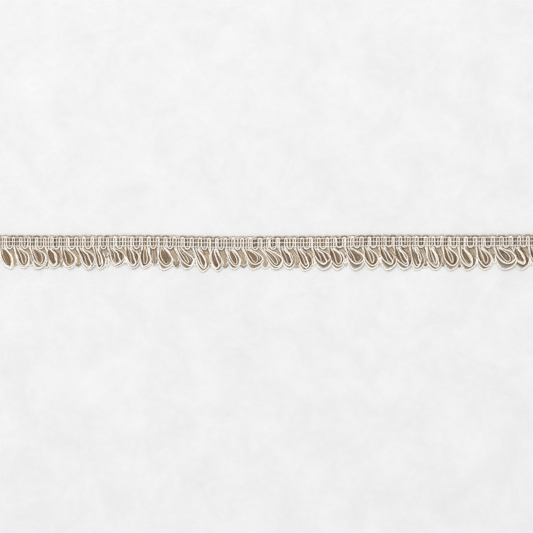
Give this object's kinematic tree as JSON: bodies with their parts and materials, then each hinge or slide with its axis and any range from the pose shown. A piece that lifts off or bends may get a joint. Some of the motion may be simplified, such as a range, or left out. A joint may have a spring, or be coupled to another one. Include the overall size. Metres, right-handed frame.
{
  "type": "looped fringe trim",
  "caption": "Narrow woven fringe trim: a scalloped warp-crossed heading with a skirt of long nested yarn loops, lying flat as a cut length.",
  "frame": {"origin": "bottom centre of the whole piece's box, on the plane that its back lies on", "axes": "+X along the trim, to the right as seen from the face; +Y across it, from the loops towards the heading's straight edge; +Z out of the face"},
  "size_m": [0.445, 0.0307, 0.0039],
  "materials": {
    "woven_yarn": "matt plied cotton yarns in off-white, cream, tan and brown, crossed by fine off-white warps",
    "loop_yarn": "matt plied cotton yarns: an off-white cord outside, cream, tan and brown yarns inside it"
  },
  "bodies": {
    "root": {"heading": "woven_yarn", "loop_skirt": "loop_yarn"}
  },
  "joints": []
}
